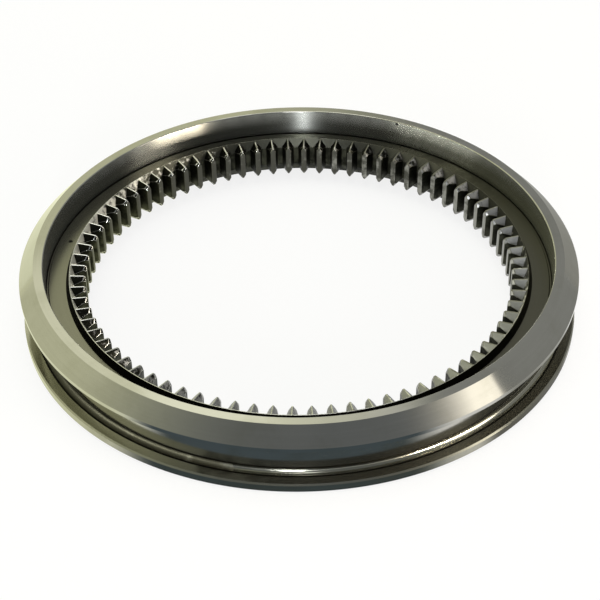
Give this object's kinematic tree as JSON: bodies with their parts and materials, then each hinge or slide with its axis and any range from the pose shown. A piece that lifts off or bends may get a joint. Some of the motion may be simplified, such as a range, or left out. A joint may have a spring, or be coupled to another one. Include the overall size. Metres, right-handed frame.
{
  "type": "gearbox sliding sleeve",
  "caption": "Steel shift sleeve ring with pointed internal spline teeth, an outer groove for a shift fork between two flanges and a bevelled upper rim.",
  "frame": {"origin": "centre of the lower end face, on the ring's axis", "axes": "+Z along the ring's axis from the thin lower flange to the bevelled upper rim; +X through the middle of one tooth"},
  "size_m": [0.198, 0.198, 0.0242],
  "materials": {
    "sleeve": "turned and ground"
  },
  "bodies": {
    "root": {"sleeve": "sleeve"}
  },
  "joints": []
}
